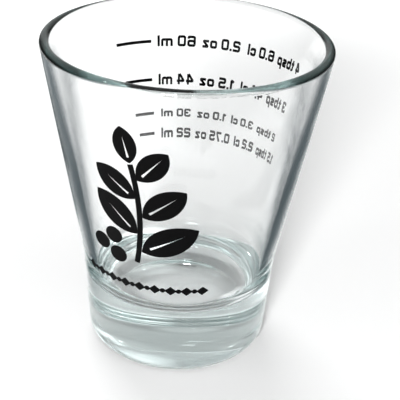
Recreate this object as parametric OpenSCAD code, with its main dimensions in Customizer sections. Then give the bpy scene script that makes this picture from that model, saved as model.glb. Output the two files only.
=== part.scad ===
// Small tapered measure glass: one piece of pressed clear glass with a rounded rim and a heavy solid
// foot, printed in black enamel with a pour scale on the back and a leaf sprig on the front.
// Millimetres, +Z up, origin at the middle of the resting face. The sprig faces -Y, the scale +Y.

/* [Glass] */
// Height from the table to the top of the rim
height = 67; // [63:0.5:72]
// Outside diameter at the rim
rim_d = 57; // [54:0.5:62]
// Thickness of the wall at the rounded rim
rim_t = 2; // [1.6:0.1:2.8]
// Height of the shoulder, where the tapered wall meets the foot
shoulder_h = 20; // [17:0.5:20.5]
// Outside diameter at the shoulder
shoulder_d = 41.3; // [40:0.1:44]
// Diameter of the foot just above its rounded lower edge
foot_d = 39; // [37:0.5:41]
// Radius of the foot's rounded lower edge
foot_edge_r = 2.7; // [1.5:0.1:4]

/* [Bowl] */
// Thickness of solid glass under the bowl
floor_h = 14; // [12:0.5:18]
// Thickness of the wall where it would meet the floor of the bowl, measured level
low_wall_t = 2.2; // [1.8:0.1:3.5]
// Radius of the corner between floor and wall
floor_r = 5; // [2:0.5:9]
// Diameter of the shallow hollow under the foot
hollow_d = 28.5; // [18:0.5:30]
// Depth of the hollow under the foot
hollow_depth = 1.2; // [0.4:0.1:1.8]

/* [Scale] */
// Volumes that the printed lines are labelled with, in millilitres, from the lowest line to the highest
volumes = [22, 30, 44, 60];
// Heights of those lines above the table
line_h = [36.5, 41.1, 48.4, 56.9];
// Their lengths, measured round the wall
line_l = [3.8, 4.7, 6.6, 8.6];
// Thickness of a printed line
line_t = 0.65; // [0.4:0.05:0.9]
// Angle round the glass from the middle of the back to the end that the lines share
line_end_a = 39; // [30:1:50]

/* [Sprig and border] */
// Height of the sprig's middle above the table
sprig_h = 41; // [40:0.5:44]
// Length of the sprig's stem
stem_l = 23; // [22:0.5:24.5]
// Radius of the curve of the stem
stem_r = 55; // [50:1:90]
// Thickness of the stem
stem_t = 1.1; // [0.8:0.1:1.6]
// Number of leaves on the sides of the stem, besides the one at its tip
leaf_n = 5; // [3:1:5]
// Angle between a leaf and the stem
leaf_a = 50; // [45:1:56]
// Height of the border's middle line above the table
border_h = 22; // [22:0.1:24]
// Number of lozenges in the border
border_n = 9; // [5:1:13]

/* [Hidden] */
// Thickness of the enamel that stands on the glass, and depth to which it is fired into it
enamel_t = 0.08;
enamel_bite = 0.03;
$fn = 96;

// Rounded rim: centre of its round in the half section, and its radius
rim_r = rim_t / 2;
rim_c = [rim_d / 2 - rim_r, height - rim_r];
shoulder = [shoulder_d / 2, shoulder_h];
foot_c = [foot_d / 2 - foot_edge_r, foot_edge_r];

// Direction of the line from point p that touches a circle, on its right-hand side or its left
function touch_dir(p, centre, r, side) =
    atan2(centre.y - p.y, centre.x - p.x) - side * asin(r / norm(centre - p));
// Point where that line touches the circle
function touch_point(p, centre, r, side) =
    let (d = touch_dir(p, centre, r, side))
    p + sqrt(pow(norm(centre - p), 2) - r * r) * [cos(d), sin(d)];

// Outside of the tapered wall: a straight cone from the shoulder to the rim
wall_dir = touch_dir(shoulder, rim_c, rim_r, 1);
function wall_r(z) = shoulder.x + (z - shoulder_h) / tan(wall_dir);

// Inside of the wall: a straight cone from the corner of the bowl to the rim
bowl_corner = [wall_r(floor_h) - low_wall_t, floor_h];
bowl_dir = touch_dir(bowl_corner, rim_c, rim_r, -1);
bowl_slope = 1 / tan(bowl_dir);

// Round between floor and wall: its centre, and where it runs into the wall
round_c = [bowl_corner.x + floor_r * bowl_slope - floor_r * sqrt(1 + bowl_slope * bowl_slope),
           floor_h + floor_r];
round_end = round_c + floor_r * [sin(bowl_dir), -cos(bowl_dir)];

// Radius of the bowl at height z
function bowl_r(z) =
    z > round_end.y
        ? bowl_corner.x + (z - floor_h) * bowl_slope
        : round_c.x + sqrt(max(0, floor_r * floor_r - pow(round_c.y - z, 2)));

// Volume of the bowl up to height z, in millilitres, summed over thin level slices
SLICES = 200;
function add(values, i = 0) = i == len(values) ? 0 : values[i] + add(values, i + 1);
function bowl_ml(z) =
    let (dz = (z - floor_h) / SLICES)
    add([for (i = [0 : SLICES - 1]) PI * pow(bowl_r(floor_h + (i + 0.5) * dz), 2) * dz]) / 1000;

// The labels are nominal, so what the bowl holds up to each line is printed beside them
for (i = [0 : len(volumes) - 1])
    echo(label_ml = volumes[i], bowl_ml = bowl_ml(line_h[i]));
echo(brim_ml = bowl_ml(height - rim_r));

// Half section of the solid glass, before the bowl and the hollow are taken out of it
module glass_outline() {
    foot_side = touch_point(shoulder, foot_c, foot_edge_r, -1);
    rim_outside = touch_point(shoulder, rim_c, rim_r, 1);
    rim_inside = touch_point(bowl_corner, rim_c, rim_r, -1);
    polygon([[0, 0], [foot_c.x, 0], foot_c, foot_side, shoulder, rim_outside, rim_c, rim_inside,
             [0, rim_inside.y]]);
    translate(foot_c) circle(foot_edge_r);
    translate(rim_c) circle(rim_r);
}

// Half section of the bowl
module bowl_outline() {
    rim_inside = touch_point(bowl_corner, rim_c, rim_r, -1);
    polygon([[0, floor_h], [round_c.x, floor_h], round_c, round_end, rim_inside,
             [rim_inside.x, height + 1], [0, height + 1]]);
    intersection() {
        translate(round_c) circle(floor_r);
        polygon([round_c, [round_c.x, floor_h - 1], [bowl_corner.x + floor_r, floor_h - 1], round_end]);
    }
}

module glass_body() {
    hollow_r = (pow(hollow_d / 2, 2) + pow(hollow_depth, 2)) / (2 * hollow_depth);
    color([0.86, 0.92, 0.91, 0.45])
    difference() {
        rotate_extrude($fn = 180) {
            difference() {
                glass_outline();
                bowl_outline();
            }
        }
        translate([0, 0, hollow_depth - hollow_r]) sphere(hollow_r);
    }
}

// Section of a layer of enamel on the tapered wall between two heights
module enamel_section(z0, z1) {
    polygon([[wall_r(z0) - enamel_bite, z0], [wall_r(z0) + enamel_t, z0],
             [wall_r(z1) + enamel_t, z1], [wall_r(z1) - enamel_bite, z1]]);
}

// Flat shape, drawn as seen from the front, printed on the front of the wall between two heights
module printed(z0, z1, turn = 0) {
    intersection() {
        rotate_extrude($fn = 180) enamel_section(z0, z1);
        rotate([0, 0, turn]) rotate([90, 0, 0]) linear_extrude(rim_d / 2 + 1) children();
    }
}

// Line of the scale, its end level with the other lines' ends
module scale_line(i) {
    sweep_a = line_l[i] / wall_r(line_h[i]) * 180 / PI;
    color("black")
    rotate([0, 0, 90 + line_end_a])
        rotate_extrude(angle = sweep_a, $fn = 180)
            enamel_section(line_h[i] - line_t / 2, line_h[i] + line_t / 2);
}

// The stem is part of a circle, t from 0 at its foot to 1 at its tip
stem_span_a = stem_l / stem_r * 180 / PI;
stem_bow = 1.1;
function stem_angle(t) = stem_span_a * (t - 0.5);
function stem_point(t) =
    [stem_bow - stem_r + stem_r * cos(stem_angle(t)), sprig_h - 1.4 + stem_r * sin(stem_angle(t))];

// Leaves, right and left by turns and smaller towards the tip: place on the stem, side, length, width
leaves = [for (i = [0 : leaf_n - 1])
    [0.11 + 0.18 * i, i % 2 == 0 ? 1 : -1, 12.4 - 0.9 * i, 6.2 - 0.3 * i]];
tip_leaf = [1, 0, 7.6, 4.6];

// Leaf shape with its stalk end at the origin, pointing along +X, open along its midrib
module leaf_shape(l, w) {
    arc_r = (l * l + w * w) / (4 * w);
    vein_t = 0.5;
    difference() {
        intersection() {
            translate([l / 2, arc_r - w / 2]) circle(arc_r);
            translate([l / 2, w / 2 - arc_r]) circle(arc_r);
        }
        polygon([[l * 0.16, -vein_t / 2], [l * 0.8, 0], [l * 0.16, vein_t / 2]]);
    }
}

module place_leaf(leaf) {
    t = leaf[0];
    translate(stem_point(t))
        rotate(90 + stem_angle(t) - leaf[1] * leaf_a)
            translate([abs(leaf[1]) * stem_t / 2 + 0.25, 0])
                leaf_shape(leaf[2], leaf[3]);
}

// Heights that the sprig's print runs between
sprig_z0 = sprig_h - 16;
sprig_z1 = sprig_h + 18;

module sprig_leaves() {
    color("black")
    printed(sprig_z0, sprig_z1) {
        for (leaf = leaves) place_leaf(leaf);
        place_leaf(tip_leaf);
    }
}

module sprig_stem() {
    a = stem_span_a / 2;
    far = 2 * stem_r;
    color("black")
    printed(sprig_z0, sprig_z1)
        translate([stem_bow - stem_r, sprig_h - 1.4])
            intersection() {
                difference() {
                    circle(stem_r + stem_t / 2, $fn = 180);
                    circle(stem_r - stem_t / 2, $fn = 180);
                }
                polygon([[0, 0], far * [cos(a), -sin(a)], far * [cos(a), sin(a)]]);
            }
}

// Berries in a loose bunch at the foot of the stem
berry_r = 1.9;
berries = [[-4.9, -7.6], [-8, -10.2], [-4.2, -12.1]];

module sprig_berries() {
    color("black")
    printed(sprig_z0, sprig_z1)
        for (b = berries)
            translate([b.x, sprig_h + b.y]) circle(berry_r);
}

// Border: lozenges and dots by turns, across a fixed part of the wall
border_a = 75;
lozenge_l = 2.5;
lozenge_w = 2.2;
dot_r = 0.55;
border_step_a = border_a / (border_n - 0.3);
border_z0 = border_h - 1.4;
border_z1 = border_h + 1.4;

module border_lozenges() {
    color("black")
    for (i = [0 : border_n - 1])
        printed(border_z0, border_z1, (i - (border_n - 1) / 2) * border_step_a)
            translate([0, border_h])
                polygon([[-lozenge_l / 2, 0], [0, -lozenge_w / 2], [lozenge_l / 2, 0], [0, lozenge_w / 2]]);
}

module border_dots() {
    color("black")
    for (i = [0 : border_n - 2])
        printed(border_z0, border_z1, (i - (border_n - 2) / 2) * border_step_a)
            translate([0, border_h]) circle(dot_r, $fn = 24);
}

glass_body();
scale_line(0);  // scale_line_22_ml
scale_line(1);  // scale_line_30_ml
scale_line(2);  // scale_line_44_ml
scale_line(3);  // scale_line_60_ml
sprig_stem();
sprig_leaves();
sprig_berries();
border_lozenges();
border_dots();
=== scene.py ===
"""Small tapered measure glass, printed with a pour scale at the back and a leaf sprig at the front.

Metres, +Z up, origin in the middle of the resting face. The sprig faces -Y and the scale +Y.
"""
from math import asin, atan2, cos, hypot, pi, radians, sin, sqrt, tan

import bpy
from mathutils import Matrix, Vector


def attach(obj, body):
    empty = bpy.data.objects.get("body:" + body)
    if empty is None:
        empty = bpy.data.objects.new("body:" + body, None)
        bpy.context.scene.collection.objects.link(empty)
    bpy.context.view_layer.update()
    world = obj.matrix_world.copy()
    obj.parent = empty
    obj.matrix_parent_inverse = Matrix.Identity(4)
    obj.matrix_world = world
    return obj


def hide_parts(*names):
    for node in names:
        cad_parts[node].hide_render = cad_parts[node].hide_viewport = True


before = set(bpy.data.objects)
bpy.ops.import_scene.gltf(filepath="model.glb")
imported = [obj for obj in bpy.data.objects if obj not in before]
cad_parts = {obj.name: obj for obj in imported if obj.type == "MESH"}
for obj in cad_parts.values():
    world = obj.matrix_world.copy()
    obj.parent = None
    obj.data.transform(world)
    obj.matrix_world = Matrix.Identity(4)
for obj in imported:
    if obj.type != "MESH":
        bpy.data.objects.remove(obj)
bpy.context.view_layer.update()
bpy.ops.object.select_all(action="DESELECT")

MM = 0.001

# Sizes of the glass, as in its source
height = 67 * MM
rim_radius = 28.5 * MM
rim_round = 1 * MM
shoulder_height = 20 * MM
shoulder_radius = 20.65 * MM
shoulder_blend = 2.5 * MM
foot_radius = 19.5 * MM
foot_round = 2.7 * MM
floor_height = 14 * MM
low_wall = 2.2 * MM
floor_round = 5 * MM
hollow_radius = 14.25 * MM
hollow_depth = 1.2 * MM
# Facets of the finished glass, all round
steps_round = 256

# Print: how far the enamel stands on the wall, and how far it is fired into it
enamel_out = 0.08 * MM
enamel_in = 0.03 * MM


def linear(colour):
    """Linear red, green, blue and alpha of an sRGB colour such as "#1a2b3c"."""
    parts = [int(colour[i:i + 2], 16) / 255 for i in (1, 3, 5)]
    return [c / 12.92 if c <= 0.04045 else ((c + 0.055) / 1.055) ** 2.4 for c in parts] + [1.0]


def add_node(tree, kind, inputs=None, **settings):
    """Adds a node with its settings. An input that is given a socket is linked to it, any other is set."""
    node = tree.nodes.new(kind)
    for name, value in settings.items():
        setattr(node, name, value)
    for name, value in (inputs or {}).items():
        if isinstance(value, bpy.types.NodeSocket):
            tree.links.new(value, node.inputs[name])
        else:
            node.inputs[name].default_value = value
    return node


def empty_material(name):
    """A new material with nothing in its node tree but the output."""
    material = bpy.data.materials.new(name)
    material.use_nodes = True
    material.node_tree.nodes.clear()
    output = material.node_tree.nodes.new("ShaderNodeOutputMaterial")
    return material, material.node_tree, output


# Materials


def make_clear_glass():
    """Soda-lime glass, pressed in a mould and fire-polished.

    The flame leaves it glossy and clear but a little uneven, so what is seen through the thick foot
    breaks into streaks. Iron in the sand gives its long paths a faint grey-green.
    """
    material, tree, output = empty_material("fire_polished_soda_lime_glass")
    place = add_node(tree, "ShaderNodeTexCoord")
    # Unevenness that the flame leaves, some 9 mm from crest to crest
    waves = add_node(tree, "ShaderNodeTexNoise", {
        "Vector": place.outputs["Object"], "Scale": 1 / (9 * MM), "Detail": 1.0, "Roughness": 0.4})
    relief = add_node(tree, "ShaderNodeBump", {
        "Height": waves.outputs["Fac"], "Strength": 1.0, "Distance": 0.02 * MM})
    # Light handling marks, 15 mm across
    marks = add_node(tree, "ShaderNodeTexNoise", {
        "Vector": place.outputs["Object"], "Scale": 1 / (15 * MM), "Detail": 3.0})
    polish = add_node(tree, "ShaderNodeMapRange", {
        "Value": marks.outputs["Fac"], "From Min": 0.45, "From Max": 0.8, "To Min": 0.0, "To Max": 0.03})
    surface = add_node(tree, "ShaderNodeBsdfPrincipled", {
        "Base Color": linear("#ffffff"), "IOR": 1.52, "Transmission Weight": 1.0,
        "Roughness": polish.outputs["Result"], "Normal": relief.outputs["Normal"]})
    # Stronger than in real soda-lime glass, so that the rim and the foot show their depth
    tint = add_node(tree, "ShaderNodeVolumeAbsorption", {
        "Color": linear("#c5dad9"), "Density": 17.0})
    tree.links.new(surface.outputs["BSDF"], output.inputs["Surface"])
    tree.links.new(tint.outputs["Volume"], output.inputs["Volume"])
    return material


def make_black_enamel():
    """Black glass enamel, screen-printed on the outside and fired.

    It melts into the wall as an opaque satin layer. The screen and the firing leave a fine grain, and
    the gloss changes a little from place to place.
    """
    material, tree, output = empty_material("fired_black_glass_enamel")
    place = add_node(tree, "ShaderNodeTexCoord")
    patches = add_node(tree, "ShaderNodeTexNoise", {
        "Vector": place.outputs["Object"], "Scale": 1 / (2.5 * MM), "Detail": 2.0})
    gloss = add_node(tree, "ShaderNodeMapRange", {
        "Value": patches.outputs["Fac"], "From Min": 0.3, "From Max": 0.7, "To Min": 0.3, "To Max": 0.46})
    tone = add_node(tree, "ShaderNodeMix", {
        "Factor": patches.outputs["Fac"], "A": linear("#030303"), "B": linear("#060607")}, data_type="RGBA")
    # The grain of a real screen is some 0.1 mm, drawn at 0.3 mm so that it shows
    grain = add_node(tree, "ShaderNodeTexNoise", {
        "Vector": place.outputs["Object"], "Scale": 1 / (0.3 * MM), "Detail": 2.0})
    relief = add_node(tree, "ShaderNodeBump", {
        "Height": grain.outputs["Fac"], "Strength": 0.4, "Distance": 0.01 * MM})
    surface = add_node(tree, "ShaderNodeBsdfPrincipled", {
        "Base Color": tone.outputs["Result"], "Roughness": gloss.outputs["Result"],
        "IOR": 1.5, "Specular IOR Level": 0.04, "Normal": relief.outputs["Normal"]})
    tree.links.new(surface.outputs["BSDF"], output.inputs["Surface"])
    return material


# The glass, drawn as a half section and spun round its axis


def touch_direction(start, centre, radius, side):
    """Direction of the line from a point of the section that touches a circle on one side."""
    away = hypot(centre[0] - start[0], centre[1] - start[1])
    return atan2(centre[1] - start[1], centre[0] - start[0]) - side * asin(radius / away)


shoulder = (shoulder_radius, shoulder_height)
rim_centre = (rim_radius - rim_round, height - rim_round)
foot_centre = (foot_radius - foot_round, foot_round)
wall_direction = touch_direction(shoulder, rim_centre, rim_round, 1)


def wall_radius(z):
    """Outside radius of the tapered wall at a height."""
    return shoulder_radius + (z - shoulder_height) / tan(wall_direction)


bowl_corner = (wall_radius(floor_height) - low_wall, floor_height)
bowl_direction = touch_direction(bowl_corner, rim_centre, rim_round, -1)


class Section:
    """A pen that draws the half section in edit mode, in the plane y = 0."""

    def __init__(self, x, z):
        self.at = (x, z)

    def line_to(self, x, z, hold=0.15 * MM):
        """A straight run, with a point close to each end, so that the rounds keep their shading."""
        x0, z0 = self.at
        run = hypot(x - x0, z - z0)
        stops = [hold / run, 1 - hold / run, 1] if run > 4 * hold else [1]
        for stop in stops:
            there = (x0 + (x - x0) * stop, z0 + (z - z0) * stop)
            bpy.ops.mesh.extrude_vertices_move(TRANSFORM_OT_translate={
                "value": (there[0] - self.at[0], 0, there[1] - self.at[1])})
            self.at = there

    def turn(self, centre, angle, steps):
        """A round about a centre, anticlockwise in the section for a positive angle."""
        bpy.ops.mesh.spin(steps=steps, angle=angle, center=(centre[0], 0, centre[1]), axis=(0, 1, 0))
        dx, dz = self.at[0] - centre[0], self.at[1] - centre[1]
        self.at = (centre[0] + dx * cos(angle) - dz * sin(angle),
                   centre[1] + dx * sin(angle) + dz * cos(angle))


def press_glass():
    """The whole glass as one closed shell."""
    bpy.ops.mesh.primitive_plane_add(size=MM, location=(0, 0, hollow_depth))
    glass = bpy.context.object
    glass.name = "pressed_glass"
    bpy.ops.object.mode_set(mode="EDIT")
    bpy.ops.mesh.select_all(action="SELECT")
    bpy.ops.mesh.merge(type="CENTER")
    pen = Section(0, hollow_depth)
    # Hollow under the foot, a shallow dome
    dome_radius = (hollow_radius ** 2 + hollow_depth ** 2) / (2 * hollow_depth)
    dome_centre = (0, hollow_depth - dome_radius)
    pen.turn(dome_centre, -asin(hollow_radius / dome_radius), 24)
    # Resting ring, the foot's rounded edge and its side
    pen.line_to(foot_centre[0], 0)
    foot_direction = touch_direction(shoulder, foot_centre, foot_round, -1) + pi
    pen.turn(foot_centre, foot_direction, 22)
    # The shoulder, with a small blend into the tapered wall
    lean = (wall_direction - foot_direction) / 2
    reach = shoulder_blend * tan(abs(lean))
    pen.line_to(shoulder[0] - reach * cos(foot_direction), shoulder[1] - reach * sin(foot_direction))
    side = -1 if lean < 0 else 1
    blend_centre = (pen.at[0] - side * shoulder_blend * sin(foot_direction),
                    pen.at[1] + side * shoulder_blend * cos(foot_direction))
    pen.turn(blend_centre, 2 * lean, 8)
    # Outside of the wall, the rounded rim and the inside of the wall
    rim_start = (rim_centre[0] + rim_round * sin(wall_direction),
                 rim_centre[1] - rim_round * cos(wall_direction))
    pen.line_to(*rim_start)
    rim_turn = pi + bowl_direction - wall_direction
    pen.turn(rim_centre, rim_turn, 32)
    slope = 1 / tan(bowl_direction)
    round_centre = (bowl_corner[0] + floor_round * slope - floor_round * sqrt(1 + slope ** 2),
                    floor_height + floor_round)
    round_end = (round_centre[0] + floor_round * sin(bowl_direction),
                 round_centre[1] - floor_round * cos(bowl_direction))
    pen.line_to(*round_end)
    # Round between wall and floor, then the floor of the bowl
    pen.turn(round_centre, -bowl_direction, 20)
    pen.line_to(0, floor_height)
    bpy.ops.mesh.select_all(action="SELECT")
    bpy.ops.mesh.spin(steps=steps_round, angle=2 * pi, center=(0, 0, 0), axis=(0, 0, 1))
    bpy.ops.mesh.select_all(action="SELECT")
    bpy.ops.mesh.remove_doubles(threshold=0.002 * MM)
    bpy.ops.mesh.normals_make_consistent(inside=False)
    bpy.ops.object.mode_set(mode="OBJECT")
    bpy.ops.object.transform_apply(location=True, rotation=True, scale=True)
    bpy.ops.object.shade_smooth_by_angle(angle=radians(30))
    return glass


# The scale's figures and units

# Each sign's width, and the middle lines of the strokes that a broad pen draws it with. A figure is 1 high,
# the pen is nearly a quarter of that, and a stroke that ends where it starts is a closed ring.
pen_width = 0.23
sign_space = 0.15
word_space = 0.35
signs = {
    "0": (0.8, [[(0.1, 0.1), (0.7, 0.1), (0.7, 0.9), (0.1, 0.9), (0.1, 0.1)]]),
    "1": (0.42, [[(0.02, 0.72), (0.3, 0.92), (0.3, 0)]]),
    "2": (0.8, [[(0.1, 0.7), (0.1, 0.9), (0.7, 0.9), (0.7, 0.5), (0.1, 0.5), (0.1, 0.1), (0.8, 0.1)]]),
    "3": (0.8, [[(0.1, 0.7), (0.1, 0.9), (0.7, 0.9), (0.7, 0.1), (0.1, 0.1), (0.1, 0.3)],
                [(0.3, 0.5), (0.7, 0.5)]]),
    "4": (0.84, [[(0.56, 1), (0.08, 0.33), (0.84, 0.33)], [(0.62, 0), (0.62, 1)]]),
    "5": (0.8, [[(0.76, 0.9), (0.1, 0.9), (0.1, 0.54), (0.7, 0.54), (0.7, 0.1), (0.1, 0.1), (0.1, 0.28)]]),
    "6": (0.8, [[(0.7, 0.72), (0.7, 0.9), (0.1, 0.9), (0.1, 0.1), (0.7, 0.1), (0.7, 0.52), (0.12, 0.52)]]),
    "7": (0.78, [[(0, 0.9), (0.7, 0.9), (0.32, 0)]]),
    ".": (0.2, [[(0.1, 0), (0.1, 0.2)]]),
    "m": (1.12, [[(0.1, 0), (0.1, 0.62), (1.02, 0.62), (1.02, 0)], [(0.56, 0), (0.56, 0.62)]]),
    "l": (0.2, [[(0.1, 0), (0.1, 1.02)]]),
    "o": (0.74, [[(0.1, 0.1), (0.64, 0.1), (0.64, 0.62), (0.1, 0.62), (0.1, 0.1)]]),
    "z": (0.68, [[(0, 0.62), (0.6, 0.62), (0.08, 0.1), (0.68, 0.1)]]),
    "c": (0.68, [[(0.58, 0.44), (0.58, 0.62), (0.1, 0.62), (0.1, 0.1), (0.58, 0.1), (0.58, 0.28)]]),
    "t": (0.5, [[(0.2, 0.96), (0.2, 0.1), (0.5, 0.1)], [(0, 0.62), (0.48, 0.62)]]),
    "b": (0.74, [[(0.1, 1.02), (0.1, 0.1), (0.64, 0.1), (0.64, 0.62), (0.12, 0.62)]]),
    "s": (0.68, [[(0.64, 0.62), (0.1, 0.62), (0.1, 0.36), (0.58, 0.36), (0.58, 0.1), (0.04, 0.1)]]),
    "p": (0.74, [[(0.1, -0.3), (0.1, 0.62), (0.64, 0.62), (0.64, 0.1), (0.12, 0.1)]]),
}


def rounded(points, cut=0.13, steps=4):
    """The points of a stroke with its corners rounded, and whether it is a closed ring."""
    points = [Vector(point) for point in points]
    ring = points[0] == points[-1]
    if ring:
        points.insert(0, points[-2])
    trios = zip(points, points[1:], points[2:])
    path = [] if ring else [points[0]]
    for before, corner, after in trios:
        back, on = before - corner, after - corner
        start = corner + back * min(cut / back.length, 0.45)
        end = corner + on * min(cut / on.length, 0.45)
        for step in range(steps + 1):
            t = step / steps
            path.append(start * (1 - t) ** 2 + corner * 2 * t * (1 - t) + end * t ** 2)
    return (path if ring else path + [points[-1]]), ring


def print_words(words, height_there, right_end, letter_height, length):
    """Words printed on the back of the wall, read from outside.

    They end at an angle round the glass, in degrees, and run for a length measured round the wall.
    """
    # The tip of the pen, as wide as a stroke and as thick as the enamel
    bpy.ops.curve.primitive_bezier_circle_add()
    tip = bpy.context.object
    tip.data.splines.clear()
    corners = tip.data.splines.new("POLY")
    corners.points.add(3)
    corners.use_cyclic_u = True
    half, thick = pen_width / 2, (enamel_out + enamel_in) / 2
    tip_corners = ((-half, -thick), (half, -thick), (half, thick), (-half, thick))
    for point, (x, y) in zip(corners.points, tip_corners):
        point.co = (x, y, 0, 1)
    # The strokes, drawn flat and swept with the tip
    bpy.ops.curve.primitive_bezier_circle_add()
    printed = bpy.context.object
    printed.data.splines.clear()
    start = 0
    for sign in words:
        if sign == " ":
            start += word_space
            continue
        width, strokes = signs[sign]
        for stroke in strokes:
            path, ring = rounded(stroke)
            line = printed.data.splines.new("POLY")
            line.points.add(len(path) - 1)
            line.use_cyclic_u = ring
            for point, (x, y) in zip(line.points, path):
                point.co = (start + x, y, 0, 1)
        start += width + sign_space
    right = start - sign_space
    printed.data.twist_mode = "Z_UP"
    printed.data.bevel_mode = "OBJECT"
    printed.data.bevel_object = tip
    printed.data.use_fill_caps = True
    bpy.ops.object.convert(target="MESH")
    bpy.data.objects.remove(tip)
    # The flat words are fitted to their length and wrapped on the wall
    stretch = length / right
    radius_there = wall_radius(height_there)
    for vertex in printed.data.vertices:
        x, y, z = vertex.co
        up = (y - 0.5) * letter_height
        angle = radians(right_end) - (right - x) * stretch / radius_there
        out = wall_radius(height_there + up) + (enamel_out - enamel_in) / 2 + z
        vertex.co = (out * cos(angle), out * sin(angle), height_there + up)
    return printed


def join_pieces(pieces, name):
    """Several meshes as one piece."""
    bpy.ops.object.select_all(action="DESELECT")
    for piece in pieces:
        piece.select_set(True)
    bpy.context.view_layer.objects.active = pieces[0]
    bpy.ops.object.join()
    pieces[0].name = name
    bpy.ops.object.mode_set(mode="EDIT")
    bpy.ops.mesh.select_all(action="SELECT")
    bpy.ops.mesh.remove_doubles(threshold=0.001 * MM)
    bpy.ops.mesh.normals_make_consistent(inside=False)
    bpy.ops.object.mode_set(mode="OBJECT")
    bpy.ops.object.shade_smooth_by_angle(angle=radians(40))
    bpy.ops.object.select_all(action="DESELECT")
    return pieces[0]


# Each row of the scale: its height, its letters' height, and for each group the words, the angle of the
# end that is nearer the line, and the length round the wall
scale_rows = {
    "60_ml": (56.9, 2.35, [("60 ml", 125.8, 8.75), ("2.0 oz", 103.8, 8.94), ("6.0 cl", 80.5, 7.2),
                          ("4 tbsp", 62.5, 8.0)]),
    "44_ml": (48.4, 2.35, [("44 ml", 125.5, 8.19), ("1.5 oz", 104.0, 8.24), ("4.4 cl", 81.5, 6.9),
                          ("3 tbsp", 63.0, 7.4)]),
    "30_ml": (41.1, 1.75, [("30 ml", 124.6, 7.11), ("1.0 oz", 103.9, 7.11), ("3.0 cl", 83.6, 6.2),
                          ("2 tbsp", 65.6, 6.9)]),
    "22_ml": (36.5, 2.2, [("22 ml", 124.7, 7.09), ("0.75 oz", 104.3, 8.68), ("2.2 cl", 79.8, 5.6),
                          ("1.5 tbsp", 63.2, 6.9)]),
}


# Putting it together

clear_glass = make_clear_glass()
black_enamel = make_black_enamel()

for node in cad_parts.values():
    node.data.materials.clear()
    node.data.materials.append(black_enamel)

glass = press_glass()
glass.data.materials.append(clear_glass)
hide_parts("glass_body")
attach(glass, "root")

for label, (row_height, letters, groups) in scale_rows.items():
    words = [print_words(w, row_height * MM, end, letters * MM, length * MM) for w, end, length in groups]
    row = join_pieces(words, "scale_words_" + label)
    row.data.materials.clear()
    row.data.materials.append(black_enamel)
    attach(row, "root")


# Camera at the photograph's place, in metres and radians: its distance from the glass's axis and its height,
# how far it is tilted down, swung aside and rolled, and how far round the glass it stands
view_distance, view_height = 0.1711152, 0.1248506
tilt, swing, roll, view_turn = 0.5008, -0.0231, 0.0529, radians(21)
# Its focal length in the photograph's pixels, the photograph's width in pixels and the film's in millimetres
focal_pixels, photo_pixels, film_width = 922.6007, 400, 36
forward = Vector((-sin(swing) * cos(tilt), cos(swing) * cos(tilt), -sin(tilt)))
right = Vector((cos(swing), sin(swing), 0))
up = right.cross(forward)
right_rolled = cos(roll) * right + sin(roll) * up
up_rolled = -sin(roll) * right + cos(roll) * up
pose = Matrix((right_rolled, up_rolled, -forward)).transposed().to_4x4()
pose.translation = Vector((0, -view_distance, view_height))
bpy.ops.object.camera_add()
camera = bpy.context.object
camera.name = "camera"
camera.matrix_world = Matrix.Rotation(view_turn, 4, "Z") @ pose
camera.data.sensor_width = film_width
camera.data.lens = focal_pixels * film_width / photo_pixels
camera.data.clip_start = 0.005
bpy.context.scene.camera = camera
bpy.context.scene.view_settings.view_transform = "Standard"
# Light that enters the rim is led down inside the wall, and comes out only after many reflections
cycles = bpy.context.scene.cycles
cycles.max_bounces = cycles.glossy_bounces = cycles.transmission_bounces = 64


# Studio: white paper in a grey room, with a window behind the camera and lamps round the glass. A grey card
# lies on each side, a little behind it.

turned = Matrix.Rotation(view_turn, 3, "Z")


def in_room(across, away, up):
    """A point given as seen by the camera: to the right, away from it and up, from the glass's foot."""
    return turned @ Vector((across, away, up))


# Painted light: glowing patches painted on the paper under and behind the thick foot stand in for the lamps'
# light that the foot would gather there. A faint painted glow covers the rest, with a painted darker spot
# behind the foot. Each patch, in mm as in_room has them: middle across and away, then the radius of its even
# part and of its edge, then how bright it is in the middle and outside its edge.
painted_caustic_patches = (
    (6, 22, 4, 12, 0.0, 0.12),
    (1, 0, 8, 14, 0.55, 0.0),
    (-7, 20, 3, 8, 1.1, 0.0),
    (15, -3, 3, 7, 0.9, 0.0),
)


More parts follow.
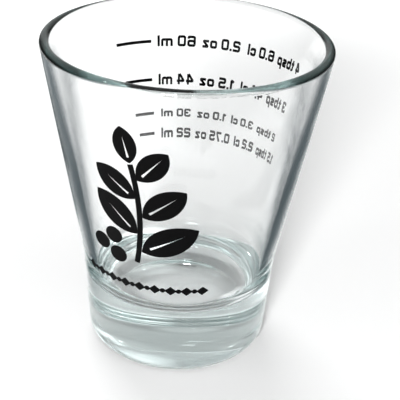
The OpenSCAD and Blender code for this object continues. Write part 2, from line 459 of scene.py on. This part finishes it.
def make_paper():
    """Matt white paper, which keeps the shadow that falls on it and fades into the white room all round.

    The patches of painted glow, which stand in for gathered light, and the painted darker spot are seen by
    the glass alone.
    """
    material, tree, output = empty_material("white_paper_with_painted_caustics")
    place = add_node(tree, "ShaderNodeTexCoord").outputs["Object"]
    painted_glow_level = None
    for across, back, inner, outer, middle, outside in painted_caustic_patches:
        away = add_node(tree, "ShaderNodeVectorMath", {
            0: place, 1: in_room(across * MM, back * MM, 0)}, operation="DISTANCE")
        patch = add_node(tree, "ShaderNodeMapRange", {
            "Value": away.outputs["Value"], "From Min": inner * MM, "From Max": outer * MM,
            "To Min": middle, "To Max": outside}).outputs["Result"]
        if painted_glow_level is not None:
            patch = add_node(tree, "ShaderNodeMath", {
                0: painted_glow_level, 1: patch}, operation="MAXIMUM").outputs[0]
        painted_glow_level = patch
    # Painted light: the paper glows in the painted patches, only for rays that come from the glass
    rays = add_node(tree, "ShaderNodeLightPath")
    from_glass = add_node(tree, "ShaderNodeMath", {
        0: rays.outputs["Is Glossy Ray"], 1: rays.outputs["Is Transmission Ray"]}, operation="MAXIMUM")
    strength = add_node(tree, "ShaderNodeMath", {
        0: from_glass.outputs[0], 1: painted_glow_level}, operation="MULTIPLY")
    painted_caustic_glow = add_node(tree, "ShaderNodeEmission", {"Strength": strength.outputs[0]})
    matt = add_node(tree, "ShaderNodeBsdfDiffuse", {"Color": linear("#f3f3f3")})
    paper_shader = add_node(tree, "ShaderNodeAddShader", {0: matt.outputs[0], 1: painted_caustic_glow.outputs[0]})
    # The fade starts 220 mm from the glass and ends at 420 mm
    reach = add_node(tree, "ShaderNodeVectorMath", {0: place}, operation="LENGTH")
    cover = add_node(tree, "ShaderNodeMapRange", {
        "Value": reach.outputs["Value"], "From Min": 220 * MM, "From Max": 420 * MM,
        "To Min": 1.0, "To Max": 0.0}, interpolation_type="SMOOTHSTEP")
    clear = add_node(tree, "ShaderNodeBsdfTransparent")
    faded = add_node(tree, "ShaderNodeMixShader", {
        0: cover.outputs["Result"], 1: clear.outputs[0], 2: paper_shader.outputs[0]})
    tree.links.new(faded.outputs[0], output.inputs["Surface"])
    return material


def make_card():
    """Matt grey card, a wedge that widens away from the camera and is soft at all its edges.

    It darkens the edges of the tapered wall, which would be lost against the white paper.
    Positions on it run from 0 to 1: X from the side nearer the glass, Y away from the camera.
    """
    material, tree, output = empty_material("matt_grey_card")
    place = add_node(tree, "ShaderNodeTexCoord")
    card_place = add_node(tree, "ShaderNodeSeparateXYZ", {"Vector": place.outputs["Generated"]})
    x, y = card_place.outputs["X"], card_place.outputs["Y"]
    # The softness of the inner edge and the place of the outer edge both grow along the card
    inner_softness = add_node(tree, "ShaderNodeMath", {0: y, 1: 0.22, 2: 0.04}, operation="MULTIPLY_ADD")
    outer_edge = add_node(tree, "ShaderNodeMath", {0: y, 1: 0.5, 2: 0.55}, operation="MULTIPLY_ADD")
    to_outer_edge = add_node(tree, "ShaderNodeMath", {0: outer_edge.outputs[0], 1: x}, operation="SUBTRACT")
    cover = None
    for position, clear_at, full_at in ((x, 0.0, inner_softness.outputs[0]),
                                        (to_outer_edge.outputs[0], 0.0, 0.4),
                                        (y, 0.0, 0.08),
                                        (y, 1.0, 0.72)):
        edge = add_node(tree, "ShaderNodeMapRange", {
            "Value": position, "From Min": clear_at, "From Max": full_at},
            interpolation_type="SMOOTHSTEP").outputs["Result"]
        if cover is not None:
            edge = add_node(tree, "ShaderNodeMath", {0: cover, 1: edge}, operation="MULTIPLY").outputs[0]
        cover = edge
    matt = add_node(tree, "ShaderNodeBsdfDiffuse", {"Color": linear("#50595d")})
    clear = add_node(tree, "ShaderNodeBsdfTransparent")
    card_shader = add_node(tree, "ShaderNodeMixShader", {0: cover, 1: clear.outputs[0], 2: matt.outputs[0]})
    tree.links.new(card_shader.outputs[0], output.inputs["Surface"])
    return material


# From the glass towards the middle of the pale back wall, and towards the window
back_direction = in_room(-0.1, 0.98, 0.15)
window_direction = in_room(0.56, -0.33, 0.76)


def light_room():
    """Grey room, dark at the floor and paler above, with a pale back wall and a bright window.

    The camera sees it white, and so does the glass where it is looked straight through. What the glass
    mirrors is the room itself.
    """
    world = bpy.data.worlds.new("studio")
    bpy.context.scene.world = world
    world.use_nodes = True
    tree = world.node_tree
    tree.nodes.clear()
    rays = add_node(tree, "ShaderNodeLightPath")
    direction = add_node(tree, "ShaderNodeTexCoord").outputs["Generated"]
    upwards = add_node(tree, "ShaderNodeSeparateXYZ", {"Vector": direction})
    rise = add_node(tree, "ShaderNodeMapRange", {
        "Value": upwards.outputs["Z"], "From Min": 0.1, "From Max": 0.45, "To Min": 0.04, "To Max": 0.42})
    to_back = add_node(tree, "ShaderNodeVectorMath", {
        0: direction, 1: back_direction}, operation="DOT_PRODUCT")
    back_wall = add_node(tree, "ShaderNodeMapRange", {
        "Value": to_back.outputs["Value"], "From Min": 0.9, "From Max": 0.97, "To Min": 0.0, "To Max": 0.5})
    to_window = add_node(tree, "ShaderNodeVectorMath", {
        0: direction, 1: window_direction}, operation="DOT_PRODUCT")
    window = add_node(tree, "ShaderNodeMapRange", {
        "Value": to_window.outputs["Value"], "From Min": 0.8, "From Max": 0.92, "To Min": 0.0, "To Max": 0.9})
    walls = add_node(tree, "ShaderNodeMath", {
        0: rise.outputs["Result"], 1: back_wall.outputs["Result"]}, operation="MAXIMUM")
    light = add_node(tree, "ShaderNodeMath", {
        0: walls.outputs[0], 1: window.outputs["Result"]}, operation="ADD")
    # The paper gets less of the room than the glass does, and none through the glass, and so keeps the shadow
    to_glass = add_node(tree, "ShaderNodeMapRange", {
        "Value": rays.outputs["Diffuse Depth"], "From Min": 0.0, "From Max": 1.0,
        "To Min": 1.3, "To Max": 0.0})
    share = add_node(tree, "ShaderNodeMath", {
        0: rays.outputs["Is Diffuse Ray"], 1: 0.25, 2: to_glass.outputs["Result"]}, operation="MULTIPLY_ADD")
    strength = add_node(tree, "ShaderNodeMath", {
        0: light.outputs[0], 1: share.outputs[0]}, operation="MULTIPLY")
    room = add_node(tree, "ShaderNodeBackground", {
        "Color": linear("#fcfffe"), "Strength": strength.outputs[0]})
    white = add_node(tree, "ShaderNodeBackground", {"Color": linear("#ffffff")})
    # A ray that has been mirrored or scattered on its way isn't looking straight through
    turned_aside = add_node(tree, "ShaderNodeMath", {
        0: rays.outputs["Glossy Depth"], 1: rays.outputs["Diffuse Depth"]}, operation="ADD")
    straight_through = add_node(tree, "ShaderNodeMath", {
        0: rays.outputs["Is Transmission Ray"], 1: turned_aside.outputs[0]},
        operation="SUBTRACT", use_clamp=True)
    sees_white = add_node(tree, "ShaderNodeMath", {
        0: rays.outputs["Is Camera Ray"], 1: straight_through.outputs[0]}, operation="MAXIMUM")
    around = add_node(tree, "ShaderNodeMixShader", {
        0: sees_white.outputs[0], 1: room.outputs[0], 2: white.outputs[0]})
    add_node(tree, "ShaderNodeOutputWorld", {"Surface": around.outputs[0]})


# The paper lies a little below the foot, and the cards a little above the paper
paper_drop = 0.02 * MM
card_drop = 0.01 * MM

bpy.ops.mesh.primitive_plane_add(size=900 * MM, location=(0, 0, -paper_drop))
paper = bpy.context.object
paper.name = "paper"
bpy.ops.object.transform_apply(location=True, rotation=True, scale=True)
paper.data.materials.append(make_paper())

# Each card's inner edge starts beside the foot and runs away from the camera, turned outwards. Only the glass
# sees the cards.
grey_card = make_card()
card_width, card_length = 120 * MM, 200 * MM
card_turn = radians(9)
card_corner_across, card_corner_away = 24.5 * MM, -12 * MM
for side, sign in (("left", -1), ("right", 1)):
    turn = -sign * card_turn
    to_middle = Matrix.Rotation(turn, 2) @ Vector((sign * card_width / 2, card_length / 2))
    card_place = in_room(sign * card_corner_across + to_middle.x, card_corner_away + to_middle.y, -card_drop)
    bpy.ops.mesh.primitive_plane_add(size=1, location=card_place, rotation=(0, 0, view_turn + turn))
    card = bpy.context.object
    card.name = "grey_card_" + side
    card.scale = (sign * card_width, card_length, 1)
    card.data.materials.append(grey_card)
    card.visible_camera = card.visible_diffuse = card.visible_shadow = False

# Lamps: degrees round from the camera, degrees up, metres off, width and height in metres, watts, and
# whether the glass shows the lamp
lamps = (
    ("front_lamp", -12, 24, 0.58, 0.104, 0.104, 4.2, True),
    ("top_lamp", -22, 67, 0.6, 0.45, 0.45, 0.4, False),
    ("back_lamp", -162, 14, 0.6, 0.45, 0.24, 5.6, False),
    ("small_lamp_right", 60, 42, 0.6, 0.035, 0.035, 0.12, True),
    ("small_lamp_left", -75, 50, 0.6, 0.035, 0.035, 0.12, True),
)
for name, around, rise, far, wide, tall, watts, shows in lamps:
    level = far * cos(radians(rise))
    lamp_height = far * sin(radians(rise))
    bpy.ops.object.light_add(type="AREA", location=in_room(
        level * sin(radians(around)), -level * cos(radians(around)), lamp_height))
    lamp = bpy.context.object
    lamp.name = name
    lamp.data.shape = "RECTANGLE"
    lamp.data.size = wide
    lamp.data.size_y = tall
    lamp.data.energy = watts
    lamp.rotation_euler = (-lamp.location).to_track_quat("-Z", "Y").to_euler()
    lamp.visible_glossy = lamp.visible_transmission = shows
light_room()
